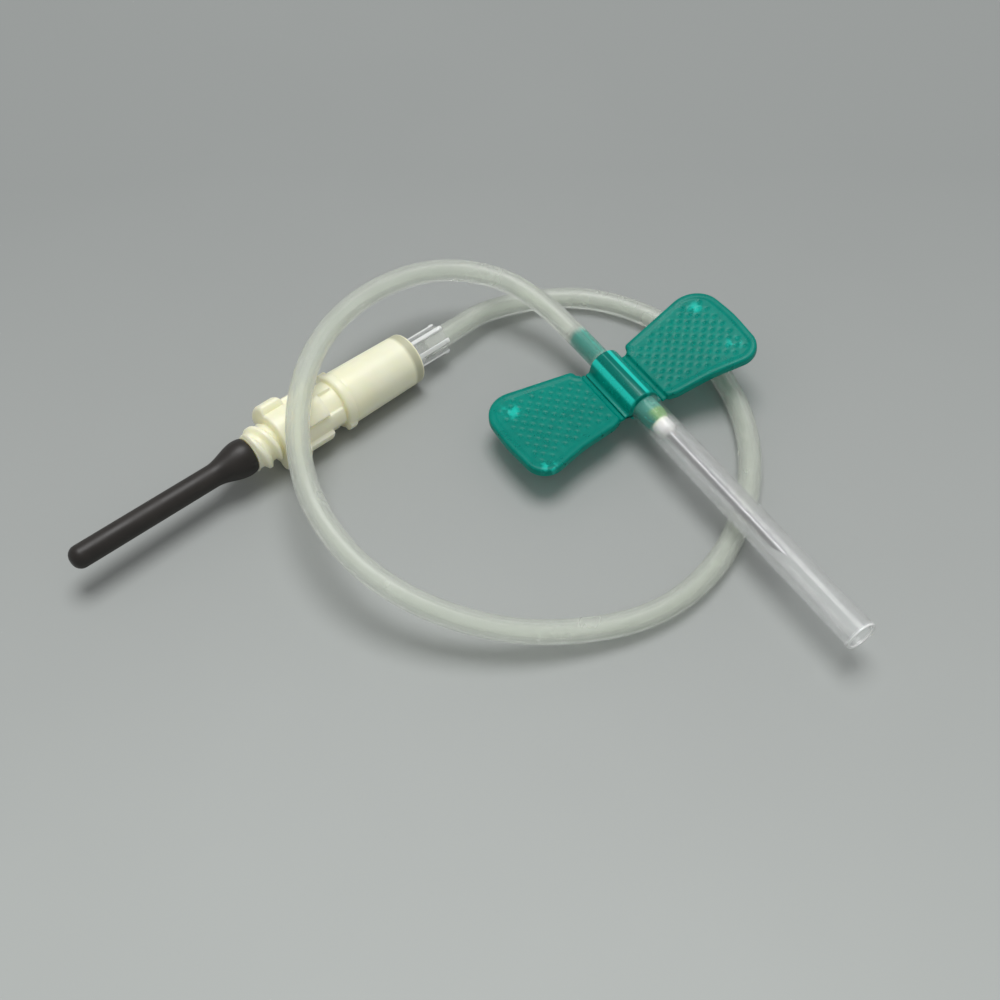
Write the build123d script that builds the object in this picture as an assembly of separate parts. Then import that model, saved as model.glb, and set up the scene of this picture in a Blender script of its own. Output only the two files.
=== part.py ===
from build123d import *
import math
import os

# Winged blood collection set, lying at rest on the plane Z = 0. Millimetres, +Z up.
# The front needle points along +X. The tubing runs from the adapter's connector to the winged hub.

# Where the pieces lie
hub_at = (-8.5, 21.51, 4.2)         # middle of the winged hub's barrel, on its axis
rim_at = (-25.45, 4.98, 2.87)       # middle of the adapter's front rim
adapter_azimuth = 100.27            # way the adapter faces, about +Z from +X
adapter_dip = 1.93                  # how far its front points below the level
lug_roll = 32.0                     # turn of the lugs and ribs about the adapter's axis

# Front needle and its sheath
needle_dia = 0.82
needle_bore = 0.60
needle_reach = 26.4                 # from the middle of the barrel to the tip
needle_root = 1.0                   # needle behind the middle of the barrel
bevel_angle = 14.0
lancet_turn = 32.0                  # turn of the two side facets about the needle
lancet_angle = 20.0
sheath_dia = 3.2
sheath_bore = 2.7
sheath_length = 33.1
sheath_fit = 0.03                   # radial clearance of the nose in the sheath
sheath_gap = 0.25                   # between the sheath's mouth and the barrel
sheath_edge = 0.12

# Winged hub
barrel_dia = 3.7
barrel_tail = 3.8                   # barrel behind its middle
barrel_front = 3.35                 # barrel ahead of its middle
barrel_edge = 0.3
nose_length = 2.9
nose_taper = 0.9                    # length of the nose's tapered end
nose_end_dia = 2.1
bead_dia = 2.0
bead_length = 1.95
spigot_dia = 1.8
spigot_length = 5.3
spigot_edge = 0.3
flow_bore = 0.9
glue_gap = 0.01                     # radial gap filled with glue round a needle

# Wings, set out from the needle's axis
web_thickness = 0.4
web_drop = 0.55                     # middle plane of a wing below the needle's axis
web_tail = 3.9
web_front = 3.5
hinge_reach = 2.6                   # flex line from the needle's axis
hinge_gap = 0.05
left_wing_rise = 15.0               # each wing above the level, as it lies
right_wing_rise = 0.0
plate_gap = 0.5                     # from the flex line to the thick plate
plate_thickness = 0.9
rim_raise = 0.14
rim_width = 0.65
plate_edge = 0.2
root_tail = 4.8                     # corners of the plate along the needle
root_front = 3.95
tip_tail = 6.4
tip_front = 6.1
tip_tail_reach = 11.3               # corners of the plate out from its root
tip_front_reach = 11.15
tip_bow = 0.45
root_corner = 0.9
tip_tail_corner = 3.2
tip_front_corner = 2.3

# Tubing
tubing_dia = 2.4
tubing_fit = 0.02

# Tube connector
cone_length = 6.5
cone_dia = 4.05                     # at the adapter's rim
cone_taper = 0.03                   # radius lost on each millimetre
grip_length = 4.6
grip_dia = 2.95
fin_count = 6
fin_reach = 1.75
fin_width = 0.42
knob_length = 0.55
knob_dia = 0.62
socket_depth = 2.5
connector_bore = 1.2

# Adapter, from its front rim to its rear
cone_fit = 0.03
cone_recess = 0.5                   # bore left clear past the cone's end
mouth_widening = 0.17
mouth_depth = 0.4
collar_front_dia = 5.75
collar_rear_dia = 6.15
collar_length = 10.4
collar_edge = 0.55
rim_edge = 0.4
neck_dia = 4.9
neck_length = 2.0
rib_length = 3.2
rib_count = 4
rib_reach = 3.15
rib_width = 1.5
rib_edge = 0.18
flange_length = 2.6
flange_dia = 5.8
flange_edge = 0.3
lug_reach = 3.75
lug_spread = 70.0
lug_edge = 0.5
thread_core_dia = 3.75
thread_dia = 4.75
thread_lead = 3.1
thread_starts = 2
thread_length = 2.9
thread_turn = 0.0                   # turn of the thread about the axis
ridge_width = 1.2
crest_width = 0.35
nipple_dia = 2.5
nipple_length = 2.0
rear_root = 15.5                    # rear end of the adapter's wide flow bore

# Rubber sleeve and the rear needle in it
sleeve_seat = 0.05                  # gap from the threaded stem to the sleeve's mouth
sleeve_fit = 0.02
sleeve_wall = 0.45
sleeve_dia = 2.4
sleeve_straight = 16.0
sleeve_point = 1.0                  # rounding of the closed tip
bulb_mouth_dia = 3.5
bulb_dia = 3.95
bulb_rise = 0.85                    # from the mouth to the widest ring
bulb_flare = 3.6                    # from the widest ring to the straight part
tip_space = 2.2                     # from the needle's tip to the sleeve's end

# Tubing route
exit_run = 7.6                      # first corner, ahead of the adapter's rim
entry_run = 5.5                     # last corner, behind the barrel
route = [
    (-27.4, 18.9, 1.7),
    (-25.6, 25.6, 1.2),
    (-21.0, 30.7, 1.2),
    (-14.6, 33.6, 1.2),
    (-7.0, 33.7, 1.2),
    (1.4, 30.9, 1.2),
    (8.8, 24.8, 1.2),
    (13.6, 17.2, 1.2),
    (15.1, 9.4, 1.2),
    (13.3, 1.5, 1.6),
    (9.7, -6.2, 4.0),
    (4.2, -12.3, 7.2),
    (-2.4, -15.3, 9.8),
    (-9.8, -15.1, 11.0),
    (-19.0, -11.1, 11.0),
    (-26.4, -4.5, 10.6),
    (-30.6, 3.7, 9.4),
    (-30.9, 11.7, 8.0),
    (-27.6, 17.6, 6.5),
    (-23.2, 20.6, 5.2),
]

# Stations along the winged hub, from the middle of the barrel
spigot_end = barrel_tail + spigot_length
nose_end = barrel_front + nose_length

# Stations along the adapter, behind its front rim
rib_from = collar_length + neck_length
flange_from = rib_from + rib_length
thread_from = flange_from + flange_length
stem_end = thread_from + thread_length
nipple_end = stem_end + nipple_length
sleeve_from = stem_end + sleeve_seat
bulb_at = sleeve_from + bulb_rise
flare_end = bulb_at + bulb_flare
sleeve_end = flare_end + sleeve_straight
rear_tip = sleeve_end - tip_space


def turned(points):
    """Solid of revolution about Z from (radius, height, corner rounding) points."""
    corners = [(radius, height) for radius, height, _ in points]
    outline = FilletPolyline(*corners, radius=[edge for _, _, edge in points], close=True)
    return revolve(Plane.XZ * make_face(outline), Axis.Z)


def turned_with_bevels(points):
    """Solid of revolution about Z from (radius, height, bevel) points."""
    outline = []
    for n, (radius, height, bevel) in enumerate(points):
        here = Vector(radius, height)
        before = Vector(*points[n - 1][:2])
        after = Vector(*points[(n + 1) % len(points)][:2])
        if bevel > 0:
            outline += [here + (before - here).normalized() * bevel, here + (after - here).normalized() * bevel]
        else:
            outline.append(here)
    return revolve(Plane.XZ * make_face(Polyline(*outline, close=True)), Axis.Z)


def rod(dia, start, end):
    """Round bar on Z between two heights."""
    standing = (Align.CENTER, Align.CENTER, Align.MIN)
    return Pos(0, 0, start) * Cylinder(dia / 2, end - start, align=standing)


def on_hub(shape):
    """Lay a piece built on +Z along +X, at the middle of the barrel."""
    return Pos(*hub_at) * Rot(0, 90, 0) * shape


def adapter_plane():
    """Plane at the adapter's rim: Z faces out of the adapter and Y is up."""
    turn = math.radians(adapter_azimuth)
    dip = math.radians(adapter_dip)
    facing = (math.cos(turn) * math.cos(dip), math.sin(turn) * math.cos(dip), -math.sin(dip))
    side = (-math.sin(turn), math.cos(turn), 0)
    return Plane(origin=rim_at, x_dir=side, z_dir=facing)


def on_adapter(shape):
    """Set a piece built on Z, with its front up, at the adapter's rim."""
    return adapter_plane().location * shape


def on_adapter_rear(shape):
    """Set a piece built on +Z, with its rear up, at the adapter's rim."""
    return on_adapter(Rot(180, 0, 0) * shape)


def ground_needle(root, tip):
    """Hollow needle on +Z, ground to a long bevel and two side facets."""
    needle = rod(needle_dia, root, tip) - rod(needle_bore, root - 1, tip + 1)
    reach = 4 * needle_dia
    wheel = Pos(reach / 2, 0, 0) * Box(reach, reach, 3 * reach)
    for turn, angle in ((0, bevel_angle), (lancet_turn, lancet_angle), (-lancet_turn, lancet_angle)):
        needle -= Rot(0, 0, turn) * Pos(-needle_dia / 2, 0, tip) * Rot(0, -angle, 0) * wheel
    return needle


def make_front_needle():
    return on_hub(ground_needle(-needle_root, needle_reach))


def make_needle_bead():
    """Dome of glue on the end of the nose, round the needle."""
    radius = bead_dia / 2
    bead = turned([
        (0, nose_end, 0),
        (radius, nose_end, 0),
        (radius, nose_end + bead_length, 0.95 * radius),
        (0, nose_end + bead_length, 0),
    ])
    return on_hub(bead - rod(needle_dia, nose_end - 1, nose_end + bead_length + 1))


def make_needle_sheath():
    """Clear tube, open at both ends, pushed over the nose."""
    start = barrel_front + sheath_gap
    end = start + sheath_length
    return on_hub(turned_with_bevels([
        (sheath_bore / 2, start, sheath_edge),
        (sheath_dia / 2, start, sheath_edge),
        (sheath_dia / 2, end, sheath_edge),
        (sheath_bore / 2, end, sheath_edge),
    ]))


def hub_core():
    """Spigot, barrel and nose, turned on Z from tail to front."""
    nose_radius = sheath_bore / 2 - sheath_fit
    return turned_with_bevels([
        (0, -spigot_end, 0),
        (spigot_dia / 2, -spigot_end, spigot_edge),
        (spigot_dia / 2, -barrel_tail, 0),
        (barrel_dia / 2, -barrel_tail, barrel_edge),
        (barrel_dia / 2, barrel_front, barrel_edge),
        (nose_radius, barrel_front, 0),
        (nose_radius, nose_end - nose_taper, nose_taper / 2),
        (nose_end_dia / 2, nose_end, 0),
        (0, nose_end, 0),
    ])


def make_wing_hub():
    """Barrel with its spigot, nose, bores and the two ledges that meet the flex lines."""
    body = on_hub(hub_core())
    ledge_reach = hinge_reach - web_thickness / 2 - hinge_gap
    ledges = Box(web_tail + web_front, 2 * ledge_reach, web_thickness)
    body += Pos(*hub_at) * Pos((web_front - web_tail) / 2, 0, -web_drop) * ledges
    body -= on_hub(rod(flow_bore, -spigot_end - 1, -needle_root))
    return body - on_hub(rod(needle_dia + 2 * glue_gap, -needle_root, nose_end + 1))


def wing_outline():
    """Thick plate of a wing seen from above: X along the needle, Y out from its root."""
    tail = (-tip_tail, tip_tail_reach)
    front = (tip_front, tip_front_reach)
    bowed = ((tip_front - tip_tail) / 2, (tip_tail_reach + tip_front_reach) / 2 + tip_bow)
    sides = Polyline(front, (root_front, 0), (-root_tail, 0), tail)
    face = make_face(ThreePointArc(tail, bowed, front) + sides)
    face = fillet(face.vertices().sort_by(Axis.Y)[:2], root_corner)
    face = fillet(face.vertices().sort_by(Axis.X)[0], tip_tail_corner)
    return fillet(face.vertices().sort_by(Axis.X)[-1], tip_front_corner)


def wing_plate():
    """Thick plate with a raised rim on both faces and bevelled outer edges."""
    outline = wing_outline()
    height = plate_thickness / 2 + rim_raise
    plate = extrude(outline, height, both=True)
    top = plate.faces().sort_by(Axis.Z)[-1]
    bottom = plate.faces().sort_by(Axis.Z)[0]
    plate = chamfer(top.edges() + bottom.edges(), plate_edge)
    inside = extrude(offset(outline, -rim_width), rim_raise)
    plate -= Pos(0, 0, plate_thickness / 2) * inside
    return plate - Pos(0, 0, -height) * inside


def flat_wing():
    """Plate and the thin flex web, whose edge is round about the flex line, which is X here."""
    middle = (web_front - web_tail) / 2
    length = web_front + web_tail
    reach = plate_gap + rim_width
    wing = Pos(0, plate_gap, 0) * wing_plate()
    wing += Pos(middle, reach / 2, 0) * Box(length, reach, web_thickness)
    return wing + Pos(middle, 0, 0) * Rot(0, 90, 0) * Cylinder(web_thickness / 2, length)


def make_wing(rise):
    """Wing on the +Y side of the hub, turned up about its flex line."""
    return Pos(*hub_at) * Pos(0, hinge_reach, -web_drop) * Rot(rise, 0, 0) * flat_wing()


def make_left_wing():
    return make_wing(left_wing_rise)


def make_right_wing():
    return mirror(make_wing(right_wing_rise), about=Plane(origin=hub_at, x_dir=(1, 0, 0), z_dir=(0, 1, 0)))


def route_points():
    """Corners of the tubing, from the bottom of the connector's socket to the tail of the barrel."""
    plane = adapter_plane()
    socket = plane.from_local_coords((0, 0, grip_length - socket_depth))
    leaving = plane.from_local_coords((0, 0, exit_run))
    tail = Vector(*hub_at) - Vector(barrel_tail, 0, 0)
    arriving = tail - Vector(entry_run, 0, 0)
    return [Vector(socket), Vector(leaving)] + [Vector(*point) for point in route] + [arriving, tail]


def route_radii(points):
    """Arc at each corner: 0.45 of the shorter run over the tangent of half the turn."""
    radii = []
    for before, here, after in zip(points, points[1:], points[2:]):
        run_in = here - before
        run_out = after - here
        half_turn = math.radians(run_in.get_angle(run_out)) / 2
        radii.append(0.45 * min(run_in.length, run_out.length) / math.tan(half_turn))
    return radii


def make_tubing():
    """Soft tube swept along the route, with a socket for the spigot."""
    points = route_points()
    radii = route_radii(points)
    path = FilletPolyline(*points, radius=radii)
    start = Plane(origin=path @ 0, z_dir=path % 0)
    tube = sweep(start * Circle(tubing_dia / 2), path=path)
    expected = math.pi * tubing_dia**2 / 4 * path.length
    print("tubing radii", [round(radius, 1) for radius in radii])
    print("tubing length", round(path.length, 2), "volume ratio", round(tube.volume / expected, 5))
    return tube - on_hub(rod(spigot_dia + 2 * tubing_fit, -spigot_end - 0.1, -barrel_tail + 1))


def make_tube_connector():
    """Tapered cone that plugs into the adapter, and a finned grip with the tubing's socket."""
    end_radius = cone_dia / 2 - cone_taper * cone_length
    body = turned_with_bevels([
        (0, -cone_length, 0),
        (end_radius, -cone_length, 0.15),
        (cone_dia / 2, 0, 0),
        (grip_dia / 2, 0, 0),
        (grip_dia / 2, grip_length, 0.1),
        (0, grip_length, 0),
    ])
    fin = Pos(fin_reach / 2, 0, grip_length / 2) * Box(fin_reach, fin_width, grip_length)
    fin = fillet(fin.edges().filter_by(Axis.Z).sort_by(Axis.X)[-2:], fin_width / 3)
    knob = Pos(fin_reach - knob_dia / 3, 0, grip_length - knob_length / 2) * Cylinder(knob_dia / 2, knob_length)
    for n in range(fin_count):
        body += Rot(0, 0, lug_roll + n * 360 / fin_count) * (fin + knob)
    body -= rod(tubing_dia + 2 * tubing_fit, grip_length - socket_depth, grip_length + 1)
    return on_adapter(body - rod(connector_bore, -cone_length - 1, grip_length))


def adapter_core():
    """Collar, neck, stop flange, threaded stem and nipple, turned on Z with the front up."""
    collar = turned([
        (0, 0, 0),
        (collar_front_dia / 2, 0, rim_edge),
        (collar_rear_dia / 2, -collar_length, collar_edge),
        (0, -collar_length, 0),
    ])
    return collar + turned_with_bevels([
        (0, -collar_length, 0),
        (neck_dia / 2, -collar_length, 0),
        (neck_dia / 2, -flange_from, 0),
        (flange_dia / 2, -flange_from, flange_edge),
        (flange_dia / 2, -thread_from, flange_edge),
        (thread_core_dia / 2, -thread_from, 0),
        (thread_core_dia / 2, -stem_end, 0.2),
        (nipple_dia / 2, -stem_end, 0),
        (nipple_dia / 2, -nipple_end, 0.2),
        (0, -nipple_end, 0),
    ])


def make_thread():
    """Coarse thread of two starts, its root sunk a little into the stem."""
    root = thread_core_dia / 2 - 0.1
    crest = thread_dia / 2
    section = Plane.XZ * make_face(Polyline(
        (root, -ridge_width / 2),
        (crest, -crest_width / 2),
        (crest, crest_width / 2),
        (root, ridge_width / 2),
        close=True,
    ))
    helix = Helix(pitch=thread_lead, height=thread_length + ridge_width, radius=root)
    start = Pos(0, 0, -stem_end - ridge_width / 2)
    ridge = start * sweep(section, path=helix, is_frenet=True)
    stem = rod(thread_dia + 1, -stem_end + 0.2, -thread_from + 0.1)
    starts = range(thread_starts)
    return [Rot(0, 0, thread_turn + n * 360 / thread_starts) * ridge & stem for n in starts]


def make_lug():
    """Rounded lug that stands out of the stop flange, on +X."""
    inner = thread_core_dia / 2
    block = Plane.XZ * Pos((inner + lug_reach) / 2, 0) * Rectangle(lug_reach - inner, flange_length)
    lug = Rot(0, 0, -lug_spread / 2) * revolve(block, Axis.Z, lug_spread)
    outside = [edge for edge in lug.edges() if math.hypot((edge @ 0.5).X, (edge @ 0.5).Y) > 0.97 * lug_reach]
    return Pos(0, 0, -(flange_from + thread_from) / 2) * chamfer(outside, lug_edge)


def make_rib():
    """One of the ribs between the neck and the stop flange, on +X."""
    rib = Pos(rib_reach / 2, 0, -(rib_from + flange_from) / 2) * Box(rib_reach, rib_width, rib_length)
    return fillet(rib.edges().filter_by(Axis.Z).sort_by(Axis.X)[-2:], rib_edge)


def adapter_bore():
    """Tapered luer bore, the flow bore and the hole that holds the rear needle."""
    depth = cone_length + cone_recess
    mouth = cone_dia / 2 + cone_fit
    bore = turned([
        (0, -depth, 0),
        (mouth - cone_taper * depth, -depth, 0),
        (mouth - cone_taper * mouth_depth, -mouth_depth, 0),
        (mouth + mouth_widening, 0, 0),
        (mouth + mouth_widening, 1, 0),
        (0, 1, 0),
    ])
    bore += rod(flow_bore, -rear_root, -depth + 1)
    return bore + rod(needle_dia + 2 * glue_gap, -nipple_end - 1, -rear_root)


def make_luer_adapter():
    body = adapter_core()
    for ridge in make_thread():
        body += ridge
    for n in range(rib_count):
        body += Rot(0, 0, lug_roll + n * 360 / rib_count) * make_rib()
    for side in (0, 180):
        body += Rot(0, 0, lug_roll + side) * make_lug()
    return on_adapter(body - adapter_bore())


def make_rear_needle():
    return on_adapter_rear(ground_needle(rear_root, rear_tip))


def sleeve_outline():
    """Outside of the sleeve on Z: mouth, bulb, flare, straight part and rounded tip."""
    mouth = (bulb_mouth_dia / 2, sleeve_from)
    widest = (bulb_dia / 2, bulb_at)
    straight = (sleeve_dia / 2, flare_end)
    return [
        Line((0, sleeve_from), mouth),
        Spline(mouth, widest, straight, tangents=[(0.5, 1), (0, 1)]),
        FilletPolyline(straight, (sleeve_dia / 2, sleeve_end), (0, sleeve_end), radius=sleeve_point),
        Line((0, sleeve_end), (0, sleeve_from)),
    ]


def make_rubber_sleeve():
    """Closed sleeve over the rear needle, stretched over the nipple."""
    sleeve = revolve(Plane.XZ * make_face(sleeve_outline()), Axis.Z)
    sleeve -= rod(sleeve_dia - 2 * sleeve_wall, sleeve_from - 1, sleeve_end - 2 * sleeve_wall)
    sleeve -= rod(nipple_dia + 2 * sleeve_fit, sleeve_from - 1, nipple_end + sleeve_wall / 2)
    return on_adapter_rear(sleeve)


def main():
    os.makedirs("parts", exist_ok=True)
    pieces = {
        "wing_hub": make_wing_hub(),
        "left_wing": make_left_wing(),
        "right_wing": make_right_wing(),
        "needle_bead": make_needle_bead(),
        "front_needle": make_front_needle(),
        "needle_sheath": make_needle_sheath(),
        "tubing": make_tubing(),
        "tube_connector": make_tube_connector(),
        "luer_adapter": make_luer_adapter(),
        "rear_needle": make_rear_needle(),
        "rubber_sleeve": make_rubber_sleeve(),
    }
    for name, piece in pieces.items():
        export_step(piece, f"parts/{name}.step")
    firm = Compound([piece for name, piece in pieces.items() if name != "tubing"])
    print("box without tubing", firm.bounding_box().min, firm.bounding_box().max)


main()
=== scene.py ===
import math

import bmesh
import bpy
import numpy as np
from mathutils import Matrix, Vector
from mathutils.geometry import delaunay_2d_cdt


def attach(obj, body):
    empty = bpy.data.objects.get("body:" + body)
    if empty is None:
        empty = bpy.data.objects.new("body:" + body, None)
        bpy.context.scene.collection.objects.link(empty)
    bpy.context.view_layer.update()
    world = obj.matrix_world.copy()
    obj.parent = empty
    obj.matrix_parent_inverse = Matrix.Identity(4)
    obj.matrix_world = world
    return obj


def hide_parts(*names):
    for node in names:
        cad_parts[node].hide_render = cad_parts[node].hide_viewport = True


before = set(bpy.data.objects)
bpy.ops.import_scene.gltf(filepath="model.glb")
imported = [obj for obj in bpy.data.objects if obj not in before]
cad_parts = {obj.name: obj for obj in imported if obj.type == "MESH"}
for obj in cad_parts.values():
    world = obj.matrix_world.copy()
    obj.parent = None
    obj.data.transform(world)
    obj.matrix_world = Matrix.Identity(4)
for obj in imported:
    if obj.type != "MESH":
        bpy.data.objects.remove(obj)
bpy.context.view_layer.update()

MM = 0.001
SHARP = math.radians(40)

# Camera and light, in metres and watts
CAMERA_AT = (0.06352, -0.03973, 0.104532)
CAMERA_AIM = (-0.005427, 0.00404, 0)
CAMERA_LENS = 46.8
KEY_AT = (-0.122, 0.077, 0.582)
KEY_SIZE = 0.36
KEY_POWER = 2.32
WORLD_LEVEL = 0.43
FLOOR_HALF = 0.6

# Sizes in millimetres, as in the solids
HUB_AT = Vector((-8.5, 21.51, 4.2))
RIM_AT = Vector((-25.45, 4.98, 2.87))
ADAPTER_AZIMUTH = math.radians(100.27)
ADAPTER_DIP = math.radians(1.93)
LUG_ROLL = math.radians(32.0)

BARREL_RADIUS = 1.85
HUB_TAIL = 3.85
HUB_FRONT = 3.4
HUB_EDGE = 0.13
LEDGE_REACH = 2.35
LEDGE_TOP = -0.35
LEDGE_BOTTOM = -0.75
LEDGE_FILLET = 0.35
LEDGE_UNDER_FILLET = 0.25
# How far the ledge's tip bulges, as a share of half its height
LEDGE_TIP = 0.4
SPIGOT_RADIUS = 0.9
SPIGOT_END = 9.1
NOSE_RADIUS = 1.32
NOSE_TAPER_FROM = 5.35
NOSE_END = 6.25
NOSE_END_RADIUS = 1.05
FLOW_RADIUS = 0.45
NEEDLE_HOLE_RADIUS = 0.42
HUB_STEP_AT = 1.0
# Half the width that the barrel's painted highlight lines and painted shade are measured on
LINES_HALF = 2.4
# Middle of the part of the spigot that shows through the tubing, behind the hub's middle
SPIGOT_TINT_AT = 6.4

BEAD_RADIUS = 1.0
BEAD_END = 8.2
FUNNEL_FROM = 4.3
FUNNEL_RADIUS = 0.45
FUNNEL_END_RADIUS = 0.92

SHEATH_RADIUS = 1.6
SHEATH_BORE_RADIUS = 1.35
SHEATH_FROM = 3.6
SHEATH_END = 36.7
SHEATH_EDGE = 0.08

HINGE_REACH = 2.6
HINGE_DROP = 0.55
LEFT_WING_RISE = math.radians(15.0)
RIGHT_WING_RISE = 0.0
WEB_HALF = 0.2
PLATE_HALF = 0.45
RIM_RAISE = 0.09
RIM_WIDTH = 0.6
RIM_SLOPE = 0.28
RIM_FROM = 0.3
PLATE_EDGE = 0.3
PLATE_FROM = 0.3
PLATE_SLOPE = 0.3
DIMPLE_PITCH = 0.92
DIMPLE_RADIUS = 0.25
DIMPLE_FLAT = 0.08
DIMPLE_DEPTH = 0.09
DIMPLE_MARGIN = 1.15
DIMPLES_FROM = 1.3
# Painted highlights at the corners of the wings, where light leaves their thick edges: side, rise, along,
# out and size
PAINTED_HIGHLIGHTS = [
    (-1, RIGHT_WING_RISE, -3.4, 9.3, 1.3),
    (-1, RIGHT_WING_RISE, 4.9, 10.2, 1.2),
    (1, LEFT_WING_RISE, -3.6, 9.6, 1.0),
    (1, LEFT_WING_RISE, 2.95, 9.7, 1.1),
]
# Distances in from the edge, and out from the flex line, at which a wing's mesh gets rows of points
EDGE_ROWS = (0.015, 0.06, 0.12, 0.2, 0.3, 0.45, 0.6, 0.67, 0.74, 0.81, 0.88, 1.0)
WEB_ROWS = (0.35, 0.42, 0.5, 0.57, 0.65, 0.72, 0.8)
# Rings of points in a dimple: radius and count
DIMPLE_RINGS = ((0.0, 1), (0.09, 6), (0.17, 10), (DIMPLE_RADIUS, 12))
# Corners of a wing's outline from above, out from its flex line: along, out, rounding
WING_CORNERS = [
    (-3.9, -0.2, 0.0),
    (-3.9, 0.75, 0.35),
    (-4.75, 0.85, 0.55),
    (-6.35, 11.8, 3.2),
    (-0.15, 12.2, 14.0),
    (6.1, 11.65, 2.3),
    (4.5, 5.6, 14.0),
    (3.95, 1.4, 1.5),
    (3.5, 0.3, 0.8),
    (3.5, -0.2, 0.0),
]

TUBE_RADIUS = 1.2
TUBE_BORE_RADIUS = 0.68
TUBE_SEAT_RADIUS = 0.91
TUBE_SEAT_LENGTH = 5.35
TUBE_SIDES = 32
# Points of the spline nearer to each other than this are dropped
LINE_GAP = 0.18

# Control points of the tubing's line, in metres
ROUTE = [
    (-0.025824, 0.007045, 0.002799),
    (-0.026804, 0.012454, 0.002614),
    (-0.02786, 0.01561, 0.0021),
    (-0.02741, 0.02207, 0.0013),
    (-0.02357, 0.02889, 0.00122),
    (-0.01530, 0.03340, 0.00122),
    (-0.00773, 0.03371, 0.00122),
    (0.00137, 0.03094, 0.00122),
    (0.00889, 0.02481, 0.00122),
    (0.01358, 0.01727, 0.00122),
    (0.01520, 0.00939, 0.0013),
    (0.01327, 0.00139, 0.0020),
    (0.00937, -0.00600, 0.0034),
    (0.00307, -0.01185, 0.0054),
    (-0.00393, -0.01454, 0.0070),
    (-0.01199, -0.01420, 0.0082),
    (-0.02120, -0.01009, 0.0088),
    (-0.02865, -0.00336, 0.0083),
    (-0.03245, 0.00482, 0.0076),
    (-0.03218, 0.01276, 0.0070),
    (-0.02814, 0.01846, 0.0060),
    (-0.0232, 0.02061, 0.0051),
    (-0.0178, 0.02151, 0.0042),
    (-0.0123, 0.02151, 0.0042),
]


# Frames of the two turned groups
def axis_frame(origin, along, side):
    """Place for pieces that are built on +Z, with a side of theirs on +X."""
    along = Vector(along).normalized()
    side = Vector(side).normalized()
    frame_matrix = Matrix((side, along.cross(side), along)).transposed().to_4x4()
    frame_matrix.translation = origin
    return frame_matrix


ON_HUB = axis_frame(HUB_AT, (1, 0, 0), (0, 0, -1))
ON_ADAPTER = axis_frame(
    RIM_AT,
    (
        math.cos(ADAPTER_AZIMUTH) * math.cos(ADAPTER_DIP),
        math.sin(ADAPTER_AZIMUTH) * math.cos(ADAPTER_DIP),
        -math.sin(ADAPTER_DIP),
    ),
    (-math.sin(ADAPTER_AZIMUTH), math.cos(ADAPTER_AZIMUTH), 0),
)


# Mesh helpers
def rounded(corners, closed=False, step=math.radians(15)):
    """Flat outline of (x, y, rounding) corners with their arcs filled in."""
    points = []
    last = len(corners) - 1
    for n, (x, y, rounding) in enumerate(corners):
        here = Vector((x, y))
        if rounding <= 0 or (not closed and n in (0, last)):
            points.append(here)
            continue
        before = (Vector(corners[n - 1][:2]) - here).normalized()
        after = (Vector(corners[(n + 1) % len(corners)][:2]) - here).normalized()
        half = before.angle(after) / 2
        centre = here + (before + after).normalized() * rounding / math.sin(half)
        start = here + before * rounding / math.tan(half) - centre
        sweep = math.pi - 2 * half
        if before.cross(after) > 0:
            sweep = -sweep
        count = max(1, math.ceil(abs(sweep) / step))
        for k in range(count + 1):
            points.append(centre + Matrix.Rotation(sweep * k / count, 2) @ start)
    return points


def filled(points, spacing, closed=False):
    """The same outline with points added along its long stretches."""
    ends = points[1:] + (points[:1] if closed else [])
    dense = []
    for here, after in zip(points, ends):
        count = max(1, math.ceil((after - here).length / spacing))
        dense += [here.lerp(after, k / count) for k in range(count)]
    return dense if closed else dense + points[-1:]


def make_object(name, vertices, faces):
    mesh = bpy.data.meshes.new(name)
    mesh.from_pydata([tuple(v) for v in vertices], [], faces)
    mesh.validate()
    mesh.update()
    mesh.shade_smooth()
    mesh.set_sharp_from_angle(angle=SHARP)
    thing = bpy.data.objects.new(name, mesh)
    bpy.context.collection.objects.link(thing)
    return thing


def band(first, second, count):
    """Faces between two rings of points, each given by its first point."""
    pairs = [(k, (k + 1) % count) for k in range(count)]
    return [(first + k, first + m, second + m, second + k) for k, m in pairs]


def turned(name, matrix, outline, count, reach=None):
    """Surface turned about Z from an outline of (radius, height), from pole to pole or closed."""
    angles = 2 * math.pi * np.arange(count) / count
    poles = outline[0].x < 1e-6 and outline[-1].x < 1e-6
    rings = outline[1:-1] if poles else outline
    vertices = []
    for point in rings:
        radii = reach(point.x, point.y, angles) if reach else np.full(count, point.x)
        ring = np.column_stack((radii * np.cos(angles), radii * np.sin(angles), np.full(count, point.y)))
        vertices.append(ring)
    vertices = np.vstack(vertices)
    total = len(rings)
    faces = []
    for i in range(total - 1 if poles else total):
        faces += band(i * count, (i + 1) % total * count, count)
    if poles:
        ends = np.array([(0, 0, outline[0].y), (0, 0, outline[-1].y)])
        first, final = len(vertices), len(vertices) + 1
        vertices = np.vstack((vertices, ends))
        for k in range(count):
            m = (k + 1) % count
            faces.append((first, m, k))
            faces.append((final, (total - 1) * count + k, (total - 1) * count + m))
    return make_object(name, to_metres(vertices, matrix), faces)


def to_metres(vertices, matrix):
    place = np.array(matrix)
    return (vertices @ place[:3, :3].T + place[:3, 3]) * MM


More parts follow.
